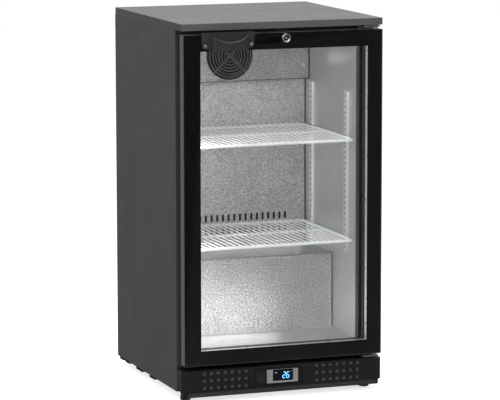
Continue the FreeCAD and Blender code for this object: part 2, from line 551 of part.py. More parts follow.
cf.rotate(V(0, 0, 0), V(0, 0, 1), -90.0)     # its +Y axis now points along +X
cf.translate(V(-189.0 + 0.0, CFY, CFZ))
out("condenser_fan_blade", cf)

# refrigerant lines: discharge to the condenser, liquid line to the filter drier, suction up to the coil
lines = [
    tube_path([(60.0, 205.0, 60.0), (60.0, 232.0, 60.0), (-60.0, 232.0, 60.0), (-60.0, 244.0, 200.0), (-196.0, 244.0, 200.0)], 2.5, 7.0),
    tube_path([(-196.0, 48.0, 60.0), (-120.0, 48.0, 60.0)], 2.5, 7.0),
    tube_path([(150.0, 196.5, 120.0), (150.0, 235.0, 120.0), (suct_x, 235.0, 200.0), (suct_x, suct_y, 235.0), (suct_x, suct_y, 760.0)], 4.0, 12.0),
    tube_path([(-36.0, 48.0, 60.0), (0.0, 48.0, 60.0), (0.0, 70.0, 60.0), (0.0, 70.0, 220.0)], 1.5, 8.0),
]
drier = (fuse([cx(48.0, 60.0, -110.0, -46.0, 11.0), Part.makeCone(3.4, 11.0, 10.0, V(-120.0, 48.0, 60.0), V(1, 0, 0)),
                          Part.makeCone(11.0, 2.4, 10.0, V(-46.0, 48.0, 60.0), V(1, 0, 0))]))
out("refrigerant_lines", drier, *lines)

# rear grille over the machine compartment
gs = []
for zc in range(60, 245, 14):
    for xa, xb in ((-225.0, -85.0), (-70.0, 70.0), (85.0, 225.0)):
        gs.append(rect_xz(xa, xb, zc - 3.0, zc + 3.0, YB - 1.2))
grille = sheet_y(rect_xz(-W2 + SKIN, W2 - SKIN, CAB_Z0 + 9.0, 257.0, YB - 1.2), gs, YB - 1.2, 1.2)
grille = cut(grille, cy(-200.0, 42.0, YB - 5, YB + 2, 8.0))
out("rear_grille", grille)
# gland where the mains lead enters, closed by its membrane
out("cord_gland", fuse([cy(-200.0, 42.0, YB - 8.0, YB, 8.0), cy(-200.0, 42.0, YB - 8.0, YB - 1.3, 10.5)]).cut(cy(-200.0, 42.0, YB - 3.0, YB + 1, 4.0)))


def screw_y(x, z, y, r=3.4, h=1.4, s=1.4, length=6.0):
    head = fil(cy(x, z, y - h, y, r), 0.9, lambda e: abs(e.BoundBox.YMin - (y - h)) < 1e-6 and abs(e.BoundBox.YMax - (y - h)) < 1e-6)
    cross = [box(x - 2.0, x + 2.0, y - h - 0.1, y - h + 0.8, z - 0.5, z + 0.5),
             box(x - 0.5, x + 0.5, y - h - 0.1, y - h + 0.8, z - 2.0, z + 2.0)]
    return cut(head, cross)


scr = []
for sx in (-194.0, 194.0):
    scr.append(screw_y(sx, 744.6, EVAP_Y))
    scr.append(screw_y(sx, 658.6, DUCT_Y))
    scr.append(screw_y(sx, 400.0, DUCT_Y))
out("panel_screws", *scr)

# ---------------------------------------------------------------- door
GF = YF + GLASS_T                 # back of the outer pane
PR = GF + 0.4                     # back of the printed border
DF1 = -212.5                      # back of the metal frame
IG0 = -224.0                      # front of the inner pane
IG1 = IG0 + GLASS_T
GK0, GK1 = -204.5, CAB_Y - 0.3    # gasket
HND = (-192.8, 837.8), (-79.5, 838.8)
lock_hole = cy(LOCK_X, LOCK_Z, YF - 5, -200.0, 9.0)
handle_holes = [cy(hx, hz, YF - 5, GF + 12, 2.3) for hx, hz in HND]

og = box(DOOR_X0, DOOR_X1, YF, GF, DOOR_Z0, DOOR_Z1)
og = fil(og, 3.0, lambda e: e.BoundBox.YLength > 1 and e.BoundBox.XLength < 1e-6 and e.BoundBox.ZLength < 1e-6)
og = og.makeChamfer(0.8, [e for e in og.Edges if abs(e.BoundBox.YMin - YF) < 1e-6 and abs(e.BoundBox.YMax - YF) < 1e-6])
out("outer_glass", cut(og, [lock_hole] + handle_holes))
pb = ring_y(DOOR_X0 + 0.8, DOOR_X1 - 0.8, DOOR_Z0 + 0.8, DOOR_Z1 - 0.8, CLR_X0, CLR_X1, CLR_Z0, CLR_Z1, GF, PR)
out("printed_border", cut(pb, [lock_hole] + handle_holes))

fr = ring_y(DOOR_X0, DOOR_X1, DOOR_Z0, DOOR_Z1, DOOR_X0 + 3.0, DOOR_X1 - 3.0, DOOR_Z0 + 3.0, DOOR_Z1 - 3.0, PR, DF1)
fl = ring_y(DOOR_X0 + 1, DOOR_X1 - 1, DOOR_Z0 + 1, DOOR_Z1 - 1, DOOR_X0 + 20.0, DOOR_X1 - 26.0, DOOR_Z0 + 20.0, DOOR_Z1 - 20.0, DF1 - 3.0, DF1)
df = fuse([fr, fl])
df = fil(df, 1.5, lambda e: e.BoundBox.YLength > 20 and e.BoundBox.XLength < 1e-6 and e.BoundBox.ZLength < 1e-6
         and (abs(e.BoundBox.XMin - DOOR_X0) < 1e-6 or abs(e.BoundBox.XMin - DOOR_X1) < 1e-6))
blk = (HINGE_X - 12.0, 247.0, -238.0 + 0.2, DF1 - 3.0)
df = cut(df, [lock_hole, cz(HINGE_X, HINGE_Y, 855.0, 870.0, 7.0), cz(HINGE_X, HINGE_Y, 80.0, 95.0, 7.0)])
out("door_frame", df)

SP = 9.0
out("glass_spacer", ring_y(CLR_X0 - SP, CLR_X1 + SP, CLR_Z0 - SP, CLR_Z1 + SP, CLR_X0 - 0.3, CLR_X1 + 0.3, CLR_Z0 - 0.3, CLR_Z1 + 0.3, PR, IG0))
out("inner_glass", box(CLR_X0 - SP, CLR_X1 + SP, IG0, IG1, CLR_Z0 - SP, CLR_Z1 + SP))

# black plastic inner frame: holds the panes and the gasket
ifr = ring_y(DOOR_X0 + 4.0, 235.0, DOOR_Z0 + 4.0, DOOR_Z1 - 4.0, CLR_X0, CLR_X1, CLR_Z0, CLR_Z1, DF1, GK0)
ifr2 = ring_y(CLR_X0 - 12.0, CLR_X1 + 10.0, CLR_Z0 - 12.0, CLR_Z1 + 12.0, CLR_X0, CLR_X1, CLR_Z0, CLR_Z1, IG1, DF1 + 0.5)
ifr = fuse([ifr, ifr2])
ifr = cut(ifr, [box(LOCK_X - 21.0, LOCK_X + 12.0, DF1 - 2, -207.5, LOCK_Z - 11.0, DOOR_Z1)])
out("door_inner_frame", ifr)

gk = ring_y(-241.0, 235.0, 91.0, 860.5, -221.0, 217.0, 111.0, 840.0, GK0, GK1)
out("door_gasket", gk)

# pull handle: two eared back plate with a finger cup open at the top
HX0, HX1, HZ0, HZ1 = -202.0, -72.5, 827.0, 869.0
back = box(HX0, HX1, YF - 4.0, YF, HZ0 + 3.0, HZ1)
back = fil(back, 12.0, lambda e: e.BoundBox.YLength > 1 and e.BoundBox.XLength < 1e-6 and e.BoundBox.ZLength < 1e-6
           and e.BoundBox.ZMin < HZ0 + 4)
yh = YF - HANDLE_PROJ
cup = prism([(-183.0, YF, HZ0), (-177.0, yh, HZ0), (-94.0, yh, HZ0), (-88.0, YF, HZ0)], (0, 0, HZ1 - HZ0))
cup = fil(cup, 4.0, lambda e: vertical(e) and e.BoundBox.YMin < yh + 1)
pocket = prism([(-179.0, YF - 3.0, HZ0 + 4.0), (-174.5, yh + 3.0, HZ0 + 4.0), (-96.5, yh + 3.0, HZ0 + 4.0), (-92.0, YF - 3.0, HZ0 + 4.0)], (0, 0, 60))
smile = cy(-135.5, 908.8, yh - 2, YF - 5.0, 64.0)
hd = cut(fuse([back, cup]), [pocket, smile])
for hx, hz in HND:
    hd = cut(hd, [cy(hx, hz, YF - 5, YF + 1, 2.3)])
out("door_handle", hd)
hs = []
for hx, hz in HND:
    head = fil(cy(hx, hz, YF - 6.2, YF - 4.0, 4.0), 1.4, lambda e: abs(e.BoundBox.YMax - (YF - 6.2)) < 1e-6)
    st = cy(hx, hz, YF - 4.5, GF + 10.0, 2.0)
    hs.append(cut(fuse([head, st]), [box(hx - 2.2, hx + 2.2, YF - 7, YF - 5.2, hz - 0.5, hz + 0.5),
                                     box(hx - 0.5, hx + 0.5, YF - 7, YF - 5.2, hz - 2.2, hz + 2.2)]))
out("handle_screws", *hs)

# cam lock
bar = fuse([cy(LOCK_X, LOCK_Z, YF - 3.0, YF, 11.0), cy(LOCK_X, LOCK_Z, YF - 0.5, DF1, 8.9)])
bar = fil(bar, 1.2, lambda e: abs(e.BoundBox.YMax - (YF - 3.0)) < 1e-6)
bar = cut(bar, [cy(LOCK_X, LOCK_Z, YF - 6, DF1 + 1, 6.0 + RUN),
                Part.makeCone(8.6, 6.0 + RUN, 2.0, V(LOCK_X, YF - 3.01, LOCK_Z), V(0, 1, 0))])
out("lock_barrel", bar)
plug = fuse([cy(LOCK_X, LOCK_Z, YF - 1.4, -209.2, 6.0),
             box(LOCK_X - 18.0, LOCK_X, -211.8, -209.6, LOCK_Z - 4.0, LOCK_Z + 4.0)])
keyway = cy(LOCK_X, LOCK_Z, YF - 4, YF + 6.0, 4.9).cut(cy(LOCK_X, LOCK_Z, YF - 5, YF + 7.0, 2.7))
plug = cut(plug, [keyway, box(LOCK_X - 0.8, LOCK_X + 0.8, YF - 4, YF + 6.0, LOCK_Z + 4.0, LOCK_Z + 5.7)])
out("lock_plug", plug)

# nylon corner blocks that carry the pins inside the door
bl = []
for z0, z1, fz0, fz1 in ((843.0, DOOR_Z1 - 3.0, DOOR_Z1 - 3.5, 868.5), (DOOR_Z0 + 3.0, 109.0, 83.3, DOOR_Z0 + 3.5)):
    b = fuse([box(228.0, 246.9, -236.0, DF1 - 3.1, z0, z1), cz(HINGE_X, HINGE_Y, fz0, fz1, 6.9)])
    bl.append(cut(b, cz(HINGE_X, HINGE_Y, 80.0 if fz0 < 200 else 847.0, 105.0 if fz0 < 200 else 870.0, PIN_R + RUN)))
out("hinge_bushes", *bl)

# ---------------------------------------------------------------- levelling feet
for name, (fx, fy) in FEET.items():
    f = fuse([cz(fx, fy, 0.0, 8.0, 12.5),
              Part.makeCone(12.5, 7.0, 4.0, V(fx, fy, 8.0), V(0, 0, 1)),
              cz(fx, fy, 11.5, 38.0, PIN_R)])
    f = fil(f, 1.5, lambda e: abs(e.BoundBox.ZMax) < 1e-6)
    out(name, f)

print(len(NODES), "nodes")
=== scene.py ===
import math

import bmesh
import bpy
from mathutils import Matrix, Vector

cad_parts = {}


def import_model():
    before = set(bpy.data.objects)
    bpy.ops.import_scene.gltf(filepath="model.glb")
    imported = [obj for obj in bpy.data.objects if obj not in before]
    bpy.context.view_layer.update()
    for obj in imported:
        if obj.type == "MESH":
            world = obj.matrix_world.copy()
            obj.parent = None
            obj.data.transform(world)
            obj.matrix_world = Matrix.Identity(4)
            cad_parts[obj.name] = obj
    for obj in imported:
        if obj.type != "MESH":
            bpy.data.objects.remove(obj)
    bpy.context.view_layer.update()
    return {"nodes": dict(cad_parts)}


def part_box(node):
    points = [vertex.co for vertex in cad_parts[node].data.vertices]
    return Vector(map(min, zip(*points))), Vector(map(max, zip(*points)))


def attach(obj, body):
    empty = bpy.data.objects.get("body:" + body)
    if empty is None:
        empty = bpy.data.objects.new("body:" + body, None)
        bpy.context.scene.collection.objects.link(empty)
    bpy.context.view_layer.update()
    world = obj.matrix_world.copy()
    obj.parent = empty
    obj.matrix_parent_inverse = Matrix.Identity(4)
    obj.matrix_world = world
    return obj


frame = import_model()
N = frame["nodes"]
MM = 0.001

# ------------------------------------------------------------------ materials


def nt(name):
    m = bpy.data.materials.new(name)
    m.use_nodes = True
    t = m.node_tree
    t.nodes.clear()
    out = t.nodes.new("ShaderNodeOutputMaterial")
    return m, t, out


def link(t, a, b):
    t.links.new(a, b)


def coords(t, scale=(1, 1, 1)):
    tc = t.nodes.new("ShaderNodeTexCoord")
    mp = t.nodes.new("ShaderNodeMapping")
    mp.inputs["Scale"].default_value = scale
    link(t, tc.outputs["Object"], mp.inputs["Vector"])
    return mp.outputs["Vector"]


def noise(t, vec, scale, detail=3.0, rough=0.5, dist=0.0):
    n = t.nodes.new("ShaderNodeTexNoise")
    n.inputs["Scale"].default_value = scale
    n.inputs["Detail"].default_value = detail
    n.inputs["Roughness"].default_value = rough
    n.inputs["Distortion"].default_value = dist
    link(t, vec, n.inputs["Vector"])
    return n.outputs["Fac"]


def ramp(t, fac, lo, hi, c0, c1):
    r = t.nodes.new("ShaderNodeValToRGB")
    r.color_ramp.elements[0].position = lo
    r.color_ramp.elements[1].position = hi
    r.color_ramp.elements[0].color = (*c0, 1)
    r.color_ramp.elements[1].color = (*c1, 1)
    link(t, fac, r.inputs["Fac"])
    return r.outputs["Color"]


def mapr(t, fac, a, b, lo, hi):
    r = t.nodes.new("ShaderNodeMapRange")
    r.inputs["From Min"].default_value = a
    r.inputs["From Max"].default_value = b
    r.inputs["To Min"].default_value = lo
    r.inputs["To Max"].default_value = hi
    link(t, fac, r.inputs["Value"])
    return r.outputs["Result"]


def bump(t, height, strength, dist, normal=None):
    b = t.nodes.new("ShaderNodeBump")
    b.inputs["Strength"].default_value = strength
    b.inputs["Distance"].default_value = dist
    link(t, height, b.inputs["Height"])
    if normal is not None:
        link(t, normal, b.inputs["Normal"])
    return b.outputs["Normal"]


def scaled(c, k):
    return tuple(min(1.0, max(0.0, v * k)) for v in c)


def surface(name, base, rough, metal=0.0, spec=0.5, var=0.1, vscale=9.0, rvar=0.06, grain=0.0, gscale=900.0, gdist=0.0002,
            coat=0.0, coat_rough=0.1, stretch=(1, 1, 1), speck=None):
    """A finish with mottled colour, uneven gloss and a fine grain."""
    m, t, out = nt(name)
    p = t.nodes.new("ShaderNodeBsdfPrincipled")
    p.inputs["Metallic"].default_value = metal
    p.inputs["Specular IOR Level"].default_value = spec
    p.inputs["Coat Weight"].default_value = coat
    p.inputs["Coat Roughness"].default_value = coat_rough
    v = coords(t, stretch)
    big = noise(t, v, vscale, 5.0, 0.55)
    col = ramp(t, big, 0.30, 0.70, scaled(base, 1 - var), scaled(base, 1 + var))
    if speck:
        amount, sscale = speck
        fine = noise(t, v, sscale, 2.0, 0.5)
        mx = t.nodes.new("ShaderNodeMix")
        mx.data_type = "RGBA"
        mx.blend_type = "MULTIPLY"
        mx.inputs["Factor"].default_value = 1.0
        link(t, col, mx.inputs[6])
        link(t, ramp(t, fine, 0.35, 0.65, (1 - amount,) * 3, (1 + amount if amount < 0 else 1.0,) * 3), mx.inputs[7])
        col = mx.outputs[2]
    link(t, col, p.inputs["Base Color"])
    link(t, mapr(t, noise(t, v, vscale * 3.1, 4.0), 0.25, 0.75, max(0.02, rough - rvar), min(1, rough + rvar)), p.inputs["Roughness"])
    if grain:
        link(t, bump(t, noise(t, v, gscale, 3.0, 0.6), grain, gdist), p.inputs["Normal"])
    link(t, p.outputs["BSDF"], out.inputs["Surface"])
    return m


def stucco(name, base, rough, strength=0.55, cell=260.0, contrast=0.10, pit_shade=0.62):
    """Embossed stucco sheet: raised pebbles of a few millimetres over a fine rolled grain; a fine dark speckle in the
    colour is painted shade for the pits.
    """
    m, t, out = nt(name)
    p = t.nodes.new("ShaderNodeBsdfPrincipled")
    p.inputs["Metallic"].default_value = 1.0
    v = coords(t)
    warp = t.nodes.new("ShaderNodeTexNoise")
    warp.inputs["Scale"].default_value = 180.0
    warp.inputs["Detail"].default_value = 2.0
    link(t, v, warp.inputs["Vector"])
    add = t.nodes.new("ShaderNodeMix")
    add.data_type = "VECTOR"
    add.inputs["Factor"].default_value = 0.012
    link(t, v, add.inputs[4])
    link(t, warp.outputs["Color"], add.inputs[5])
    vo = t.nodes.new("ShaderNodeTexVoronoi")
    vo.feature = "SMOOTH_F1"
    vo.inputs["Scale"].default_value = cell
    vo.inputs["Smoothness"].default_value = 0.6
    link(t, add.outputs[1], vo.inputs["Vector"])
    n1 = bump(t, vo.outputs["Distance"], strength, 0.0012)
    n2 = bump(t, noise(t, v, 420.0, 4.0, 0.6), strength * 0.5, 0.0006, n1)
    link(t, n2, p.inputs["Normal"])
    blotch = noise(t, v, 14.0, 5.0, 0.6)
    col = ramp(t, blotch, 0.32, 0.68, scaled(base, 1 - contrast), scaled(base, 1 + contrast))
    # painted shade: the colour is multiplied down in a fine speckle for the shade in the pits of the emboss
    mx = t.nodes.new("ShaderNodeMix")
    mx.data_type = "RGBA"
    mx.blend_type = "MULTIPLY"
    mx.inputs["Factor"].default_value = 1.0
    link(t, col, mx.inputs[6])
    link(t, ramp(t, noise(t, v, 240.0, 3.0, 0.7), 0.30, 0.66, (pit_shade,) * 3, (1.0,) * 3), mx.inputs[7])
    link(t, mx.outputs[2], p.inputs["Base Color"])
    link(t, mapr(t, noise(t, v, 60.0, 4.0), 0.3, 0.7, rough - 0.07, rough + 0.07), p.inputs["Roughness"])
    link(t, p.outputs["BSDF"], out.inputs["Surface"])
    return m


def clear_glass(name, tint=(0.962, 0.966, 0.965)):
    """Thin clear pane: sees straight through, with a mirror-like sheen at the surface."""
    m, t, out = nt(name)
    tr = t.nodes.new("ShaderNodeBsdfTransparent")
    gl = t.nodes.new("ShaderNodeBsdfGlossy")
    gl.inputs["Color"].default_value = (1, 1, 1, 1)
    fr = t.nodes.new("ShaderNodeFresnel")
    fr.inputs["IOR"].default_value = 1.22
    v = coords(t)
    # faint smears in the gloss
    link(t, mapr(t, noise(t, v, 7.0, 5.0, 0.65), 0.35, 0.75, 0.0, 0.05), gl.inputs["Roughness"])
    link(t, ramp(t, noise(t, v, 3.0, 3.0), 0.3, 0.7, scaled(tint, 0.985), tint), tr.inputs["Color"])
    mx = t.nodes.new("ShaderNodeMixShader")
    link(t, fr.outputs["Fac"], mx.inputs["Fac"])
    link(t, tr.outputs["BSDF"], mx.inputs[1])
    link(t, gl.outputs["BSDF"], mx.inputs[2])
    link(t, mx.outputs["Shader"], out.inputs["Surface"])
    return m


def glow(name, colour, power, base=(0.02, 0.02, 0.02), rough=0.3, mott=0.12, scale=300.0):
    m, t, out = nt(name)
    p = t.nodes.new("ShaderNodeBsdfPrincipled")
    p.inputs["Emission Strength"].default_value = power
    v = coords(t)
    n = noise(t, v, scale, 2.0)
    link(t, ramp(t, n, 0.3, 0.7, scaled(colour, 1 - mott), colour), p.inputs["Emission Color"])
    link(t, ramp(t, n, 0.3, 0.7, base, scaled(base, 1.3)), p.inputs["Base Color"])
    link(t, mapr(t, n, 0.3, 0.7, rough - 0.05, rough + 0.05), p.inputs["Roughness"])
    link(t, p.outputs["BSDF"], out.inputs["Surface"])
    return m


def woven(name, base, pitch, rough=0.8):
    """A filter cloth: two crossed threads as fine bumps, with the gaps between them painted dark as shade."""
    m, t, out = nt(name)
    p = t.nodes.new("ShaderNodeBsdfPrincipled")
    v = coords(t)
    w1 = t.nodes.new("ShaderNodeTexWave")
    w1.bands_direction = "X"
    w1.inputs["Scale"].default_value = 1.0 / pitch
    link(t, v, w1.inputs["Vector"])
    w2 = t.nodes.new("ShaderNodeTexWave")
    w2.bands_direction = "Z"
    w2.inputs["Scale"].default_value = 1.0 / pitch
    link(t, v, w2.inputs["Vector"])
    mx = t.nodes.new("ShaderNodeMath")
    mx.operation = "MAXIMUM"
    link(t, w1.outputs["Fac"], mx.inputs[0])
    link(t, w2.outputs["Fac"], mx.inputs[1])
    link(t, ramp(t, mx.outputs[0], 0.35, 0.9, scaled(base, 0.25), base), p.inputs["Base Color"])
    link(t, mapr(t, noise(t, v, 90.0), 0.3, 0.7, rough - 0.08, rough + 0.08), p.inputs["Roughness"])
    link(t, bump(t, mx.outputs[0], 0.6, 0.0003), p.inputs["Normal"])
    link(t, p.outputs["BSDF"], out.inputs["Surface"])
    return m


def finned(name, base, pitch, axis, rough=0.35):
    """Plate fins on edge: fine bright and dark lines, the dark ones painted shade between the fins, with tube bends
    left plain by their own slope.
    """
    m, t, out = nt(name)
    p = t.nodes.new("ShaderNodeBsdfPrincipled")
    p.inputs["Metallic"].default_value = 1.0
    v = coords(t)
    w = t.nodes.new("ShaderNodeTexWave")
    w.bands_direction = axis
    w.inputs["Scale"].default_value = 1.0 / pitch / 3.2
    link(t, v, w.inputs["Vector"])
    link(t, ramp(t, w.outputs["Fac"], 0.2, 0.8, scaled(base, 0.15), base), p.inputs["Base Color"])
    link(t, mapr(t, noise(t, v, 60.0), 0.3, 0.7, rough - 0.08, rough + 0.1), p.inputs["Roughness"])
    link(t, bump(t, w.outputs["Fac"], 0.8, 0.0008), p.inputs["Normal"])
    link(t, p.outputs["BSDF"], out.inputs["Surface"])
    return m


def painted_facing_light(m, axis, sign, k):
    """Painted light and shade: lighter or darker colour on the faces that look along one axis, in place of the light
    those faces catch.
    """
    t = m.node_tree
    p = [n for n in t.nodes if n.type == "BSDF_PRINCIPLED"][0]
    src = p.inputs["Base Color"].links[0].from_socket
    g = t.nodes.new("ShaderNodeNewGeometry")
    s = t.nodes.new("ShaderNodeSeparateXYZ")
    link(t, g.outputs["Normal"], s.inputs["Vector"])
    mx = t.nodes.new("ShaderNodeVectorMath")
    mx.operation = "MULTIPLY"
    link(t, src, mx.inputs[0])
    link(t, mapr(t, s.outputs[axis], 0.70 * sign, 0.95 * sign, 1.0, k), mx.inputs[1])
    link(t, mx.outputs[0], p.inputs["Base Color"])


M = {
    "sheet": surface("black_powder_coat", (0.041, 0.041, 0.0415), 0.50, spec=0.36, var=0.035, vscale=3, rvar=0.05, grain=0.22, gscale=1300, gdist=0.0003, speck=(0.14, 1900)),
    "top": surface("worktop_coat", (0.086, 0.086, 0.087), 0.44, spec=0.34, var=0.03, vscale=4, rvar=0.04, grain=0.16, gscale=1400, gdist=0.0003, speck=(0.10, 2100)),
    "liner": stucco("stucco_aluminium", (0.71, 0.71, 0.714), 0.42, 0.25, 300.0, 0.04, 0.84),
    "back": stucco("stucco_back", (0.62, 0.62, 0.623), 0.36, 1.0, 230.0, 0.08, 0.42),
    "cover": stucco("stucco_cover", (0.43, 0.43, 0.433), 0.36, 0.9, 230.0, 0.10, 0.42),
    "strip": surface("strip_aluminium", (0.88, 0.88, 0.885), 0.34, metal=0.8, var=0.05, vscale=20, grain=0.1, gscale=1200, gdist=0.0001, stretch=(1, 1, 0.08)),
    "grey": surface("breaker_grey", (0.023, 0.023, 0.024), 0.45, var=0.06, vscale=15, grain=0.15, gscale=1600, gdist=0.00015),
    "black": surface("black_plastic", (0.016, 0.016, 0.0165), 0.42, spec=0.45, var=0.10, vscale=14, grain=0.25, gscale=1700, gdist=0.0002, speck=(0.15, 2600)),
    "kick": surface("kick_plastic", (0.013, 0.013, 0.0135), 0.45, spec=0.20, var=0.08, vscale=10, grain=0.3, gscale=1500, gdist=0.0002, speck=(0.12, 2400)),
    "dark": surface("dark_plastic", (0.036, 0.036, 0.037), 0.40, spec=0.6, var=0.08, vscale=20, grain=0.55, gscale=1100, gdist=0.0003, speck=(0.18, 1500)),
    "fan": surface("fan_plastic", (0.004, 0.012, 0.0125), 0.55, spec=0.25, var=0.08, vscale=22, grain=0.3, gscale=1600, gdist=0.0002),
    "mesh": woven("filter_mesh", (0.34, 0.34, 0.35), 0.0011),
    "bezel": surface("bezel_grey", (0.225, 0.227, 0.225), 0.42, var=0.04, vscale=40, grain=0.12, gscale=2500, gdist=0.0001),
    "key": surface("key_grey", (0.25, 0.252, 0.25), 0.38, var=0.05, vscale=50, grain=0.12, gscale=2500, gdist=0.0001),
    "window": surface("display_window", (0.006, 0.006, 0.008), 0.08, spec=0.5, var=0.2, vscale=60, rvar=0.03),
    "glass": clear_glass("clear_glass"),
    "print": surface("border_print", (0.0150, 0.0150, 0.0152), 0.35, spec=0.12, var=0.12, vscale=14, rvar=0.05),
    "guard": surface("guard_plastic", (0.078, 0.078, 0.080), 0.45, spec=0.4, var=0.08, vscale=30, grain=0.2, gscale=1600, gdist=0.0001),
    "dot": surface("dot_mesh", (0.062, 0.062, 0.063), 0.6, spec=0.3, var=0.15, vscale=120, grain=0.6, gscale=2600, gdist=0.0002, speck=(0.25, 2600)),
    # the lip's paler colour is painted light, the light it catches from the floor
    "lip": surface("lip_plastic_floor_light", (0.030, 0.030, 0.0305), 0.40, spec=0.35, var=0.08, vscale=12, grain=0.25, gscale=1500, gdist=0.0002),
    "plug": surface("plug_black", (0.020, 0.020, 0.021), 0.30, metal=0.4, var=0.2, vscale=150),
    "frame": surface("frame_anodised", (0.070, 0.070, 0.071), 0.40, spec=0.5, var=0.05, vscale=12, grain=0.12, gscale=900, gdist=0.0001, stretch=(1, 1, 0.04)),
    "spacer": surface("spacer_aluminium", (0.86, 0.865, 0.87), 0.30, metal=0.6, var=0.04, vscale=30, grain=0.08, gscale=900, gdist=0.0001),
    "rubber": surface("gasket_rubber", (0.014, 0.014, 0.0145), 0.62, spec=0.35, var=0.15, vscale=16, grain=0.2, gscale=1500, gdist=0.0002),
    "chrome": surface("lock_chrome", (0.88, 0.88, 0.89), 0.27, metal=1.0, var=0.04, vscale=90, rvar=0.05, grain=0.05, gscale=3000, gdist=0.00005),
    "zinc": surface("zinc_plate", (0.56, 0.56, 0.55), 0.34, metal=0.9, var=0.12, vscale=45, grain=0.2, gscale=900, gdist=0.0001),
    "wire": surface("shelf_coating", (0.86, 0.865, 0.87), 0.34, spec=0.5, var=0.03, vscale=18, grain=0.1, gscale=700, gdist=0.0001, coat=0.25, coat_rough=0.15),
    "lamp": glow("lamp_diffuser", (1.0, 1.0, 1.0), 7.0, (0.9, 0.9, 0.9), 0.5, 0.05, 120.0),
    "foam": surface("rigid_foam", (0.80, 0.74, 0.50), 0.9, var=0.1, vscale=50, grain=0.6, gscale=500, gdist=0.0008),
    "compressor": surface("compressor_enamel", (0.012, 0.012, 0.013), 0.25, var=0.15, vscale=18, grain=0.15, gscale=260, gdist=0.0004, coat=0.3),
    "fins": finned("plate_fins", (0.30, 0.30, 0.30), 0.0022, "X"),
    "cfins": finned("condenser_fins", (0.62, 0.62, 0.62), 0.0022, "Y"),
    "copper": surface("copper_tube", (0.72, 0.36, 0.21), 0.30, metal=1.0, var=0.18, vscale=60, grain=0.1, gscale=800, gdist=0.0001),
    "nylon": surface("nylon", (0.66, 0.65, 0.60), 0.5, var=0.06, vscale=40, grain=0.15, gscale=900, gdist=0.0001),
    "galv": surface("galvanised", (0.48, 0.49, 0.50), 0.42, metal=0.9, var=0.22, vscale=34, grain=0.08, gscale=500, gdist=0.0001),
    "digit": glow("display_blue", (0.16, 0.50, 1.0), 2.6),
    "icon": glow("display_icon", (0.14, 0.45, 0.80), 0.9),
    "mark": surface("printed_mark", (0.10, 0.10, 0.11), 0.6, var=0.15, vscale=200),
    "pale": surface("rocker_mark", (0.45, 0.45, 0.45), 0.5, var=0.1, vscale=300),
    # the rim's lighter colour is a painted highlight on the handle's lip
    "rim": surface("handle_rim_highlight", (0.085, 0.085, 0.086), 0.32, spec=0.7, var=0.08, vscale=20, grain=0.2, gscale=1300, gdist=0.0002),
    # near-black: painted shade inside slots and behind the fan blades, and also the black plate of the control recess
    "hole": surface("dark_recess", (0.004, 0.004, 0.004), 0.7, var=0.2, vscale=100),
}

# painted highlight: the door frame's upward faces are much lighter, as if they catch light from above
painted_facing_light(M["frame"], "Z", 1, 4.2)
# painted light and shade: the worktop's front face is lighter and its left and right faces are darker
painted_facing_light(M["top"], "Y", -1, 1.52)
painted_facing_light(M["top"], "X", -1, 0.42)
painted_facing_light(M["top"], "X", 1, 0.80)
# painted shade: the kick panel's left-facing side is darker
painted_facing_light(M["kick"], "X", -1, 0.35)

LOOK = {
    "worktop": "top", "top_back_panels": "sheet", "left_side_panel": "sheet", "right_side_panel": "sheet", "base_tray": "sheet",
    "front_sill": "sheet", "breaker_frame": "grey", "inner_liner": "liner", "step_cover": "back", "duct_panel": "back",
    "evaporator_cover": "cover", "fan_guard": "guard", "evaporator_fan_motor": "compressor", "evaporator_coil": "fins",
    "drain_tray": "black", "temperature_probe": "copper", "led_lamp": "lamp", "shelf_strips": "strip", "shelf_clips": "zinc",
    "hinge_brackets": "zinc", "kick_panel": "kick", "dust_filter": "mesh", "controller_body": "bezel", "display_window": "window",
    "switch_frame": "black", "insulation_foam": "foam", "machine_bulkhead": "galv", "compressor": "compressor",
    "compressor_mounts": "rubber", "condenser_coil": "cfins", "condenser_fan_motor": "compressor", "refrigerant_lines": "copper",
    "rear_grille": "sheet", "cord_gland": "rubber", "panel_screws": "zinc", "outer_glass": "glass", "printed_border": "print",
    "door_frame": "frame", "glass_spacer": "spacer", "inner_glass": "glass", "door_inner_frame": "black", "door_gasket": "rubber",
    "door_handle": "dark", "handle_screws": "zinc", "lock_barrel": "chrome", "hinge_bushes": "nylon", "lock_plug": "plug",
    "power_rocker": "black", "key_up": "key", "key_down": "key", "key_set": "key", "key_light": "key", "upper_shelf": "wire",
    "lower_shelf": "wire", "evaporator_fan_blade": "fan", "condenser_fan_blade": "fan", "foot_front_left": "black",
    "foot_front_right": "black", "foot_rear_left": "black", "foot_rear_right": "black",
}
for name, look in LOOK.items():
    o = N[name]
    o.data.materials.clear()
    o.data.materials.append(M[look])

# ------------------------------------------------------------------ mesh helpers


def obj(name, bm, mat, body, smooth=True, bev=0.0, seg=2, sub=0):
    me = bpy.data.meshes.new(name)
    bm.normal_update()
    bm.to_mesh(me)
    bm.free()
    o = bpy.data.objects.new(name, me)
    bpy.context.scene.collection.objects.link(o)
    me.materials.append(M[mat])
    if bev:
        b = o.modifiers.new("bevel", "BEVEL")
        b.width = bev
        b.segments = seg
        b.limit_method = "ANGLE"
        b.angle_limit = math.radians(35)
        b.harden_normals = True
    if sub:
        s = o.modifiers.new("sub", "SUBSURF")
        s.levels = s.render_levels = sub
    if smooth:
        for p in me.polygons:
            p.use_smooth = True
    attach(o, body)
    return o


def edge_soften(node, width, seg=2, angle=35.0):
    """Rounds the crisp edges of a sheet or moulding a little."""
    o = N[node]
    b = o.modifiers.new("edge", "BEVEL")
    b.width = width
    b.segments = seg
    b.limit_method = "ANGLE"
    b.angle_limit = math.radians(angle)
    b.harden_normals = True


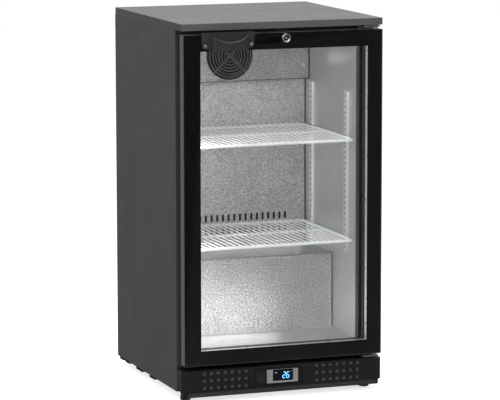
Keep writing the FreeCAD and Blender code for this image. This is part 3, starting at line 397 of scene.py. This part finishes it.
def bm_box(bm, x0, x1, y0, y1, z0, z1):
    m = Matrix.Translation(((x0 + x1) / 2, (y0 + y1) / 2, (z0 + z1) / 2)) @ Matrix.Diagonal((x1 - x0, y1 - y0, z1 - z0, 1))
    return bmesh.ops.create_cube(bm, size=1.0, matrix=m)["verts"]


# ------------------------------------------------------------------ display: digits and marks
dw0, dw1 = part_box("display_window")
face_y = dw0[1]


def segment_digit(bm, x, z, w, h, th, on, slant=0.12):
    """One seven-segment digit: bevelled bars, slanted."""
    y0, y1 = face_y - 0.00012, face_y + 0.00010
    g = th * 0.12

    def bar(ax, az, bx, bz):
        d = Vector((bx - ax, 0, bz - az)).normalized()
        n = Vector((-d.z, 0, d.x)) * (th / 2)
        a, b = Vector((ax, 0, az)) + d * g, Vector((bx, 0, bz)) - d * g
        pts = [a, a + d * th / 2 + n, b - d * th / 2 + n, b, b - d * th / 2 - n, a + d * th / 2 - n]
        vs = []
        for yy in (y0, y1):
            vs.append([bm.verts.new((p.x + (p.z - z) * slant, yy, p.z)) for p in pts])
        bm.faces.new(vs[0])
        bm.faces.new(list(reversed(vs[1])))
        for i in range(6):
            j = (i + 1) % 6
            bm.faces.new((vs[0][j], vs[0][i], vs[1][i], vs[1][j]))

    L, R, T, B, C = x, x + w, z + h, z, z + h / 2
    seg = {"a": (L, T, R, T), "b": (R, T, R, C), "c": (R, C, R, B), "d": (L, B, R, B), "e": (L, C, L, B), "f": (L, T, L, C), "g": (L, C, R, C)}
    for s in on:
        bar(*seg[s])


bm = bmesh.new()
segment_digit(bm, -0.0012, 0.0455, 0.0064, 0.0138, 0.0018, "abged")
segment_digit(bm, 0.0080, 0.0455, 0.0064, 0.0138, 0.0018, "afgedc")
obj("display_digits", bm, "digit", "cabinet", smooth=False)
bm = bmesh.new()
# running-mode dot, degree ring and two short unlit-looking dashes
bmesh.ops.create_cone(bm, cap_ends=True, segments=20, radius1=0.0016, radius2=0.0016, depth=0.0002,
                      matrix=Matrix.Translation((-0.0178, face_y, 0.0590)) @ Matrix.Rotation(math.pi / 2, 4, "X"))
for dx in (-0.0019, 0.0019):
    bm_box(bm, -0.0178 + dx - 0.0003, -0.0178 + dx + 0.0003, face_y - 0.0001, face_y + 0.0001, 0.0572, 0.0608)
bm_box(bm, 0.0185, 0.0205, face_y - 0.0001, face_y + 0.0001, 0.0603, 0.0611)
bm_box(bm, 0.0213, 0.0228, face_y - 0.0001, face_y + 0.0001, 0.0607, 0.0615)
obj("display_icons", bm, "icon", "cabinet", smooth=False)

# small printed triangles and dots on the keys
for node, body, kind in (("key_up", "up_button", "up"), ("key_down", "down_button", "down"),
                         ("key_set", "set_button", "ring"), ("key_light", "light_button", "dot")):
    a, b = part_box(node)
    cx_, cz_, y = (a[0] + b[0]) / 2, (a[2] + b[2]) / 2, a[1]
    bm = bmesh.new()
    if kind in ("up", "down"):
        s = 1 if kind == "up" else -1
        bmesh.ops.create_cone(bm, cap_ends=True, segments=3, radius1=0.0017, radius2=0.0015, depth=0.00016,
                              matrix=Matrix.Translation((cx_, y, cz_)) @ Matrix.Rotation(math.pi / 2, 4, "X") @ Matrix.Rotation(math.pi * (0.5 if s > 0 else -0.5) + math.pi, 4, "Z"))
    elif kind == "ring":
        vs = []
        for r, dy in ((0.0019, 0), (0.0013, 0), (0.0013, 0.0001), (0.0019, 0.0001)):
            vs.append([bm.verts.new((cx_ + r * math.cos(i * math.tau / 24), y - 0.00008 + dy, cz_ + r * math.sin(i * math.tau / 24))) for i in range(24)])
        for k in range(4):
            A, B = vs[k], vs[(k + 1) % 4]
            for i in range(24):
                bm.faces.new((A[i], A[(i + 1) % 24], B[(i + 1) % 24], B[i]))
        bmesh.ops.recalc_face_normals(bm, faces=bm.faces)
    else:
        bmesh.ops.create_cone(bm, cap_ends=True, segments=16, radius1=0.0013, radius2=0.0012, depth=0.00016,
                              matrix=Matrix.Translation((cx_, y, cz_)) @ Matrix.Rotation(math.pi / 2, 4, "X"))
    obj(node + "_mark", bm, "mark", body, smooth=False)

# ------------------------------------------------------------------ dark slots in the shelf strips
bm = bmesh.new()
s0, s1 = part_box("shelf_strips")
for y0, y1 in ((-127.5, -110.0), (103.0, 120.5)):
    yc = (y0 + y1) / 2
    z = s0[2] / MM + 9.0
    while z < s1[2] / MM - 6:
        for sgn in (-1, 1):
            xa, xb = sorted((sgn * 206.23, sgn * 206.9))
            bm_box(bm, xa * MM, xb * MM, (yc - 0.7) * MM, (yc + 6.7) * MM, (z - 2.5) * MM, (z + 2.5) * MM)
        z += 13.6
obj("strip_slot_shadows", bm, "hole", "cabinet", smooth=False)

# dark strips where the inner panels meet the liner and under the cover's lower edge: painted shade in those gaps
bm = bmesh.new()
e0, e1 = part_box("evaporator_cover")
d0, d1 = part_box("duct_panel")
t0, t1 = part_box("step_cover")
for sgn in (-1, 1):
    xa, xb = sorted((sgn * 0.2082, sgn * 0.2099))
    bm_box(bm, xa, xb, d0[1] - 0.0012, d0[1] - 0.0001, t1[2] + 0.001, e0[2] - 0.001)
    bm_box(bm, xa, xb, e0[1] - 0.0012, e0[1] - 0.0001, e0[2], e1[2] - 0.001)
    xa, xb = sorted((sgn * 0.2087, sgn * 0.2099))
    bm_box(bm, xa, xb, t0[1] - 0.0010, t0[1] - 0.0001, t0[2] + 0.0015, t1[2] - 0.006)
bm_box(bm, -0.2095, 0.2095, e0[1], d0[1], e0[2] - 0.0014, e0[2] - 0.0001)
obj("panel_gap_shade", bm, "rubber", "cabinet", smooth=False, bev=0.0002)

# near-black plates behind the air slots of the duct panel: painted shade inside the slots
bm = bmesh.new()
for i in range(22):
    x = (i - 10.5) * 0.0149
    for za, zb in ((0.3595, 0.3785), (0.3235, 0.3455)):
        bm_box(bm, x - 0.0037, x + 0.0037, d0[1] + 0.0011, d0[1] + 0.0016, za, zb)
obj("duct_slot_shade", bm, "hole", "cabinet", smooth=False, bev=0.0001)

# near-black ring under the rim of the fan guard, and a dark disc behind the fan blades that is painted shade
FX, FZ = 0.001, 0.774
g1 = e0[1]


def ring_lathe(bm, prof, cx_, cz_, n=72):
    """Closed profile of (radius, y) turned about an axis along Y."""
    rows = [[bm.verts.new((cx_ + r * math.cos(i * math.tau / n), y, cz_ + r * math.sin(i * math.tau / n))) for i in range(n)] for r, y in prof]
    for k in range(len(rows)):
        A, B = rows[k], rows[(k + 1) % len(rows)]
        for i in range(n):
            bm.faces.new((A[i], A[(i + 1) % n], B[(i + 1) % n], B[i]))
    bmesh.ops.recalc_face_normals(bm, faces=bm.faces)


bm = bmesh.new()
ring_lathe(bm, [(0.0502, g1 - 0.0026), (0.0588, g1 - 0.0026), (0.0592, g1 - 0.0021), (0.0592, g1 - 0.0001), (0.0586, g1 - 0.0001), (0.0586, g1 - 0.0021), (0.0502, g1 - 0.0021)], FX, FZ)
b0, b1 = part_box("evaporator_fan_blade")
ring_lathe(bm, [(0.0040, b1[1] + 0.0010), (0.0570, b1[1] + 0.0010), (0.0574, b1[1] + 0.0013), (0.0570, b1[1] + 0.0016), (0.0040, b1[1] + 0.0016)], FX, FZ)
obj("guard_ring_and_shade_disc", bm, "hole", "cabinet", smooth=False)

# woven plugs in the dimple holes of the kick panel
k0, k1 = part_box("kick_panel")
bm = bmesh.new()
for gx in (-144.6, 137.2):
    for i in range(7):
        for zr in (69.0, 51.7, 34.4):
            x, z = (gx + (i - 3) * 17.3) * MM, zr * MM
            r = 0.00412
            prof = [(0.0, 0.00022), (0.45, 0.00026), (0.8, 0.00042), (1.0, 0.00085)]
            rows = []
            for pr, dy in prof[1:]:
                rows.append([bm.verts.new((x + r * pr * math.cos(a * math.tau / 20), k0[1] + dy, z + r * pr * math.sin(a * math.tau / 20))) for a in range(20)])
            c = bm.verts.new((x, k0[1] + prof[0][1], z))
            back = [bm.verts.new((v.co.x, k0[1] + 0.0016, v.co.z)) for v in rows[-1]]
            cb = bm.verts.new((x, k0[1] + 0.0016, z))
            for a in range(20):
                b = (a + 1) % 20
                bm.faces.new((c, rows[0][b], rows[0][a]))
                for A, B in ((rows[0], rows[1]), (rows[1], rows[2]), (rows[2], back)):
                    bm.faces.new((A[a], A[b], B[b], B[a]))
                bm.faces.new((cb, back[a], back[b]))
bmesh.ops.recalc_face_normals(bm, faces=bm.faces)
obj("filter_dimples", bm, "dot", "cabinet")

# black plate of the control recess, and the lower lip of the kick panel in a paler plastic whose lighter colour is
# painted light from the floor below
bm = bmesh.new()
bm_box(bm, -0.0716, 0.0486, k0[1] + 0.00282, k0[1] + 0.00296, 0.0304, 0.0711)
obj("control_plate", bm, "hole", "cabinet", smooth=False, bev=0.00004, seg=1)
bm = bmesh.new()
prof = [(k0[1] + 0.0019, 0.0137), (k0[1] + 0.0006, 0.0146), (k0[1] + 0.0002, 0.0165), (k0[1] + 0.0005, 0.0245), (k0[1] + 0.0014, 0.0252), (k0[1] + 0.0019, 0.0252)]
L = [[bm.verts.new((x, y, z)) for y, z in prof] for x in (-0.2365, -0.236, 0.236, 0.2365)]
for a, b in zip(L[:-1], L[1:]):
    for i in range(len(prof)):
        j = (i + 1) % len(prof)
        bm.faces.new((a[i], b[i], b[j], a[j]))
bm.faces.new(list(reversed(L[0])))
bm.faces.new(L[-1])
bmesh.ops.recalc_face_normals(bm, faces=bm.faces)
obj("kick_lip_trim", bm, "lip", "cabinet", smooth=False)

# rolled rim along the finger opening of the handle; its colour, lighter than the handle's, is a painted highlight
h0, h1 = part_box("door_handle")
bm = bmesh.new()
n_arc, n_sec, rt = 48, 10, 0.00165
rows = []
a_lim = math.asin(0.0440 / 0.0640)
for i in range(n_arc + 1):
    a = -a_lim + 2 * a_lim * i / n_arc
    c = Vector((-0.1355 + 0.0640 * math.sin(a), h0[1] + 0.0016, 0.9088 - 0.0640 * math.cos(a)))
    n = Vector((math.sin(a), 0, -math.cos(a)))
    k = min(1.0, 0.25 + 3.0 * min(i, n_arc - i) / n_arc)
    rows.append([bm.verts.new(c + (n * math.cos(t) + Vector((0, 1, 0)) * math.sin(t)) * rt * k) for t in (j * math.tau / n_sec for j in range(n_sec))])
for A, B in zip(rows[:-1], rows[1:]):
    for j in range(n_sec):
        k = (j + 1) % n_sec
        bm.faces.new((A[j], A[k], B[k], B[j]))
bm.faces.new(rows[0])
bm.faces.new(list(reversed(rows[-1])))
bmesh.ops.recalc_face_normals(bm, faces=bm.faces)
obj("handle_rim_highlight", bm, "rim", "door")

# round-head screws that hold the evaporator cover and the duct panel
bm = bmesh.new()
for x, z, y in ((0.1938, 0.7441, e0[1]), (-0.1938, 0.7441, e0[1]), (0.1921, 0.6594, d0[1]), (-0.1921, 0.6594, d0[1]), (0.1921, 0.4600, d0[1]), (-0.1921, 0.4600, d0[1])):
    ring_lathe(bm, [(0.00002, y - 0.0020), (0.0016, y - 0.0018), (0.0028, y - 0.0011), (0.0033, y - 0.0002), (0.0033, y + 0.0001), (0.00002, y + 0.0001)], x, z, 24)
obj("inner_screws", bm, "zinc", "cabinet")

# rounded post in the middle of the tubular lock
l0, l1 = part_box("lock_barrel")
lx, lz = (l0[0] + l1[0]) / 2, (l0[2] + l1[2]) / 2
bm = bmesh.new()
ring_lathe(bm, [(0.00002, l0[1] + 0.0012), (0.0012, l0[1] + 0.0012), (0.0021, l0[1] + 0.0014), (0.0026, l0[1] + 0.0019), (0.0026, l0[1] + 0.0030), (0.00002, l0[1] + 0.0030)], lx, lz, 32)
obj("lock_post", bm, "chrome", "lock")

# ------------------------------------------------------------------ edges that are soft on the real sheet and mouldings
for node, w in (("kick_panel", 0.0011), ("worktop", 0.0005), ("door_handle", 0.0009), ("controller_body", 0.0005),
                ("switch_frame", 0.0004), ("power_rocker", 0.0006), ("door_inner_frame", 0.0006), ("breaker_frame", 0.0005),
                ("hinge_brackets", 0.0004), ("shelf_clips", 0.0004)):
    edge_soften(node, w)

# ------------------------------------------------------------------ stage, light, camera


def pale_floor():
    """Pale seamless sheet, lit a little from below so that it stays white."""
    m, t, out = nt("pale_floor")
    p = t.nodes.new("ShaderNodeBsdfPrincipled")
    p.inputs["Specular IOR Level"].default_value = 0.1
    p.inputs["Emission Strength"].default_value = FLOOR_GLOW
    v = coords(t)
    n = noise(t, v, 1.5, 3.0)
    link(t, ramp(t, n, 0.3, 0.7, (0.90,) * 3, (0.92,) * 3), p.inputs["Base Color"])
    link(t, ramp(t, n, 0.3, 0.7, (0.99,) * 3, (1.0,) * 3), p.inputs["Emission Color"])
    link(t, mapr(t, noise(t, v, 40.0), 0.3, 0.7, 0.7, 0.85), p.inputs["Roughness"])
    link(t, p.outputs["BSDF"], out.inputs["Surface"])
    return m


FLOOR_GLOW = 0.72
bm = bmesh.new()
bmesh.ops.create_grid(bm, x_segments=1, y_segments=1, size=1.0, matrix=Matrix.Translation((0, 4.0, 0)) @ Matrix.Diagonal((9.0, 5.0, 1, 1)))
me = bpy.data.meshes.new("floor")
bm.to_mesh(me)
bm.free()
floor = bpy.data.objects.new("floor", me)
bpy.context.scene.collection.objects.link(floor)
me.materials.append(pale_floor())
floor.visible_glossy = False

world = bpy.data.worlds.new("studio")
bpy.context.scene.world = world
world.use_nodes = True
wt = world.node_tree
wt.nodes.clear()
wo = wt.nodes.new("ShaderNodeOutputWorld")
seen = wt.nodes.new("ShaderNodeBackground")
seen.inputs["Color"].default_value = (1, 1, 1, 1)
seen.inputs["Strength"].default_value = 1.0
lit = wt.nodes.new("ShaderNodeBackground")
tc = wt.nodes.new("ShaderNodeTexCoord")
sx = wt.nodes.new("ShaderNodeSeparateXYZ")
wt.links.new(tc.outputs["Generated"], sx.inputs["Vector"])
mr = wt.nodes.new("ShaderNodeMapRange")
mr.interpolation_type = "SMOOTHSTEP"
mr.inputs["From Min"].default_value = -0.35
mr.inputs["From Max"].default_value = 0.75
mr.inputs["To Min"].default_value = 0.16
mr.inputs["To Max"].default_value = 1.0
wt.links.new(sx.outputs["Y"], mr.inputs["Value"])
mz = wt.nodes.new("ShaderNodeMapRange")
mz.interpolation_type = "SMOOTHSTEP"
mz.inputs["From Min"].default_value = -0.35
mz.inputs["From Max"].default_value = 0.20
mz.inputs["To Min"].default_value = 0.30
mz.inputs["To Max"].default_value = 1.0
wt.links.new(sx.outputs["Z"], mz.inputs["Value"])
mm = wt.nodes.new("ShaderNodeMath")
mm.operation = "MULTIPLY"
wt.links.new(mr.outputs["Result"], mm.inputs[0])
wt.links.new(mz.outputs["Result"], mm.inputs[1])
mx_ = wt.nodes.new("ShaderNodeMapRange")
mx_.interpolation_type = "SMOOTHSTEP"
mx_.inputs["From Min"].default_value = -0.55
mx_.inputs["From Max"].default_value = 0.30
mx_.inputs["To Min"].default_value = 0.62
mx_.inputs["To Max"].default_value = 1.0
wt.links.new(sx.outputs["X"], mx_.inputs["Value"])
m2 = wt.nodes.new("ShaderNodeMath")
m2.operation = "MULTIPLY"
wt.links.new(mm.outputs[0], m2.inputs[0])
wt.links.new(mx_.outputs["Result"], m2.inputs[1])
wt.links.new(m2.outputs[0], lit.inputs["Color"])
lit.inputs["Strength"].default_value = 1.0
lp = wt.nodes.new("ShaderNodeLightPath")
mxs = wt.nodes.new("ShaderNodeMixShader")
wt.links.new(lp.outputs["Is Camera Ray"], mxs.inputs["Fac"])
wt.links.new(lit.outputs["Background"], mxs.inputs[1])
wt.links.new(seen.outputs["Background"], mxs.inputs[2])
wt.links.new(mxs.outputs["Shader"], wo.inputs["Surface"])


def area(name, pos, target, size, power, size_y=None):
    l = bpy.data.lights.new(name, "AREA")
    l.energy = power
    l.shape = "RECTANGLE"
    l.size = size
    l.size_y = size_y or size
    o = bpy.data.objects.new(name, l)
    bpy.context.scene.collection.objects.link(o)
    o.location = pos
    o.rotation_euler = (Vector(target) - Vector(pos)).to_track_quat("-Z", "Y").to_euler()
    return o


area("key_soft", (-1.3, -3.4, 2.4), (0, 0, 0.45), 3.0, 82)
area("side_soft", (-2.6, 0.3, 2.0), (-0.25, 0.0, 0.62), 1.6, 13)
area("top_soft", (0.2, 0.2, 3.0), (0, 0, 0.9), 2.4, 45)
# the lamp inside, under the ceiling behind the door's top rail
area("lamp_inside", (0.0, -0.163, 0.820), (0.0, 0.05, 0.2), 0.34, 0.16, 0.012)
# soft fill inside the compartment, from the plane of the door
fills = [area("fill_front", (0.0, -0.190, 0.46), (0.0, 0.2, 0.46), 0.40, 0.52, 0.66),
         area("fill_left", (-0.203, -0.191, 0.44), (0.0, 0.02, 0.44), 0.012, 0.84, 0.60),
         # low light on the step, the ledge above it and the floor
         area("fill_low", (-0.030, -0.160, 0.152), (-0.030, 0.0, 0.148), 0.230, 0.150, 0.070),
         area("fill_floor", (-0.075, -0.0285, 0.142), (-0.075, -0.2, 0.142), 0.300, 0.040, 0.046),
         area("fill_ledge", (0.0, 0.1530, 0.324), (0.0, 0.0, 0.318), 0.40, 0.050, 0.044),
         area("fill_corner", (0.160, 0.040, 0.768), (0.210, -0.100, 0.792), 0.022, 0.0034, 0.024)]
fills[3].data.shape = "ELLIPSE"
for l in fills:
    l.visible_camera = False

cam_d = bpy.data.cameras.new("camera")
cam = bpy.data.objects.new("camera", cam_d)
bpy.context.scene.collection.objects.link(cam)
C = Vector((-2.40912, -6.63177, 1.49463))
F = Vector((0.33834, 0.92926, -0.14835)).normalized()
q = F.to_track_quat("-Z", "Y")
cam.location = C
cam.rotation_euler = (q @ Matrix.Rotation(math.radians(-0.07), 3, "Z").to_quaternion()).to_euler()
cam_d.sensor_fit = "HORIZONTAL"
cam_d.sensor_width = 36.0
cam_d.lens = 2950.43 * 36.0 / 500.0
cam_d.clip_start = 0.1
cam_d.clip_end = 60.0
bpy.context.scene.camera = cam
bpy.context.scene.view_settings.view_transform = "Standard"
bpy.context.scene.view_settings.look = "None"
